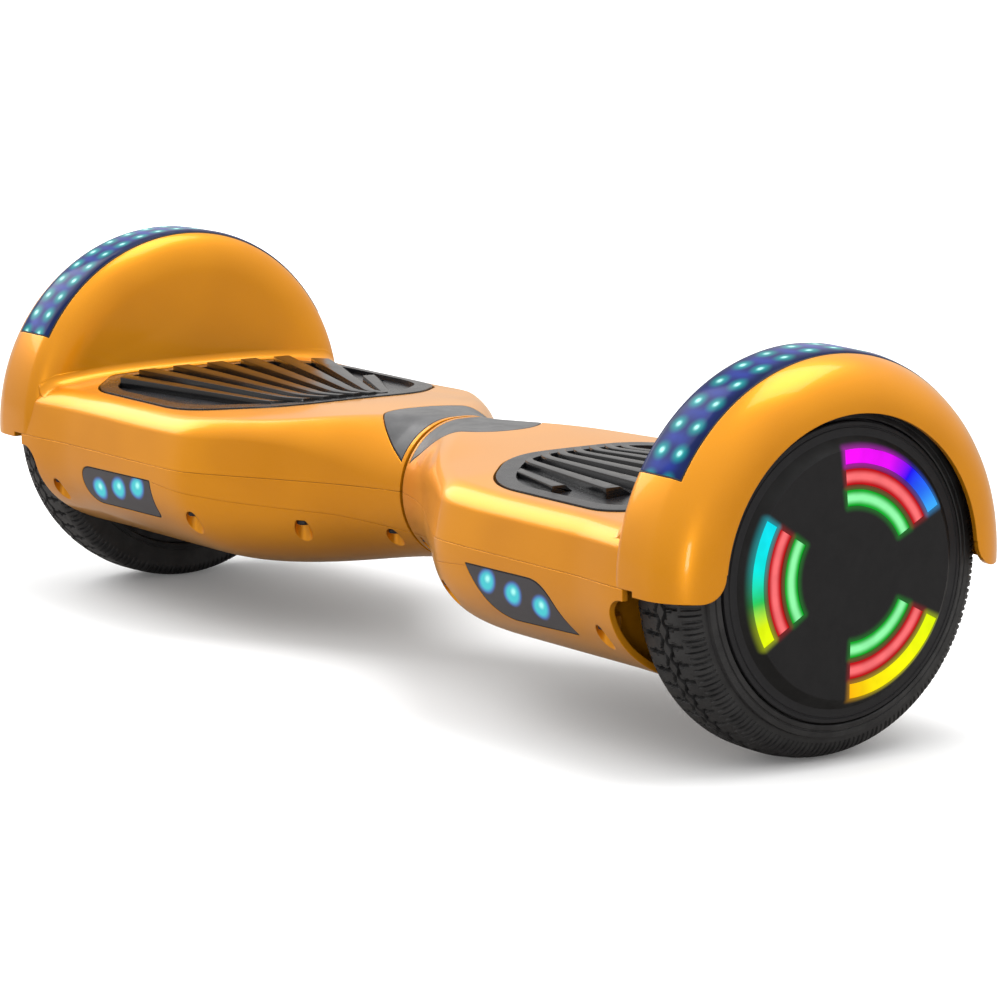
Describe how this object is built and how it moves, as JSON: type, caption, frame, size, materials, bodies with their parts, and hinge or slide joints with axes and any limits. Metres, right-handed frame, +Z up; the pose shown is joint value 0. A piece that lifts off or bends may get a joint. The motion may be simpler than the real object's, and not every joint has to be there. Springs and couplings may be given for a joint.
{
  "type": "self balancing hoverboard",
  "caption": "Self balancing hoverboard: twisting foot platforms with ribbed pads, hub motor wheels under rounded mudguards, and lights on the mudguards, wheels and front.",
  "frame": {"origin": "on the floor, under the middle of the pivot between the halves", "axes": "+X along the wheel axle towards the half that carries the charging socket, +Y towards the back, where the sockets are, +Z up"},
  "size_m": [0.584, 0.1916, 0.1807],
  "materials": {
    "shell_paint": "gloss",
    "joint_plastic": "satin",
    "trim_plastic": "matte",
    "pad_rubber": "satin",
    "tread_rubber": "matte",
    "cap_rubber": "matte",
    "strip_lens": "gloss",
    "headlight_lens": "gloss",
    "light_guide": "gloss",
    "cover_plastic": "satin",
    "rim_aluminium": "satin",
    "cast_aluminium": "satin",
    "steel": "satin",
    "winding": "satin",
    "circuit_board": "satin",
    "battery_wrap": "satin",
    "cable_sheath": "satin"
  },
  "bodies": {
    "left_half": {"left_upper_shell": "shell_paint", "left_lower_shell": "shell_paint", "left_neck_trim": "trim_plastic", "left_strip_lens": "strip_lens", "left_strip_board": "circuit_board", "left_headlight_lens": "headlight_lens", "left_headlight_board": "circuit_board", "left_sensor_board": "circuit_board", "left_frame": "cast_aluminium", "left_axle_clamp": "cast_aluminium", "left_clamp_screw_front": "steel", "left_clamp_screw_back": "steel", "left_axle": "steel", "left_stator": "winding", "left_motor_cable": "cable_sheath", "battery_pack": "battery_wrap", "pivot_tube": "steel", "retaining_ring": "steel", "joint_ring": "joint_plastic", "cross_cable": "cable_sheath"},
    "right_half": {"right_upper_shell": "shell_paint", "right_lower_shell": "shell_paint", "right_neck_trim": "trim_plastic", "right_strip_lens": "strip_lens", "right_strip_board": "circuit_board", "right_headlight_lens": "headlight_lens", "right_headlight_board": "circuit_board", "right_sensor_board": "circuit_board", "right_frame": "cast_aluminium", "right_axle_clamp": "cast_aluminium", "right_clamp_screw_front": "steel", "right_clamp_screw_back": "steel", "right_axle": "steel", "right_stator": "winding", "right_motor_cable": "cable_sheath", "mainboard": "circuit_board", "heatsink": "cast_aluminium", "charge_port": "cover_plastic", "button_housing": "cover_plastic", "pivot_bushing": "trim_plastic"},
    "left_wheel": {"left_tyre": "tread_rubber", "left_wheel_rim": "rim_aluminium", "left_hub_cover": "cast_aluminium", "left_magnet_ring": "steel", "left_inner_bearing": "steel", "left_outer_bearing": "steel", "left_wheel_cover": "cover_plastic", "left_wheel_lights": "light_guide"},
    "right_wheel": {"right_tyre": "tread_rubber", "right_wheel_rim": "rim_aluminium", "right_hub_cover": "cast_aluminium", "right_magnet_ring": "steel", "right_inner_bearing": "steel", "right_outer_bearing": "steel", "right_wheel_cover": "cover_plastic", "right_wheel_lights": "light_guide"},
    "left_pad": {"left_footpad": "pad_rubber"},
    "right_pad": {"right_footpad": "pad_rubber"},
    "power_button": {"power_button": "steel"},
    "charge_cap": {"charge_cap": "cap_rubber"}
  },
  "joints": [
    {"name": "board_twist", "type": "hinge", "parent": "left_half", "child": "right_half", "pos_m": [0, 0, 0.082], "axis": [1, 0, 0], "range_deg": [-12, 12], "stiffness_Nm_per_rad": 6},
    {"name": "left_wheel_spin", "type": "hinge", "parent": "left_half", "child": "left_wheel", "pos_m": [-0.2635, 0, 0.085], "axis": [1, 0, 0], "continuous": true},
    {"name": "right_wheel_spin", "type": "hinge", "parent": "right_half", "child": "right_wheel", "pos_m": [0.2635, 0, 0.085], "axis": [1, 0, 0], "continuous": true},
    {"name": "left_pad_press", "type": "slide", "parent": "left_half", "child": "left_pad", "axis": [0, 0, 1], "range_m": [-0.001, 0], "stiffness_N_per_m": 40000, "springref_m": 0.0002},
    {"name": "right_pad_press", "type": "slide", "parent": "right_half", "child": "right_pad", "axis": [0, 0, 1], "range_m": [-0.001, 0], "stiffness_N_per_m": 40000, "springref_m": 0.0002},
    {"name": "power_button_press", "type": "slide", "parent": "right_half", "child": "power_button", "axis": [0, 0.766, -0.6428], "range_m": [-0.0015, 0], "stiffness_N_per_m": 500, "springref_m": 0.001},
    {"name": "charge_cap_swing", "type": "hinge", "parent": "right_half", "child": "charge_cap", "pos_m": [0.14, 0.0761, 0.0431], "axis": [1, 0, 0], "range_deg": [-110, 0]}
  ]
}
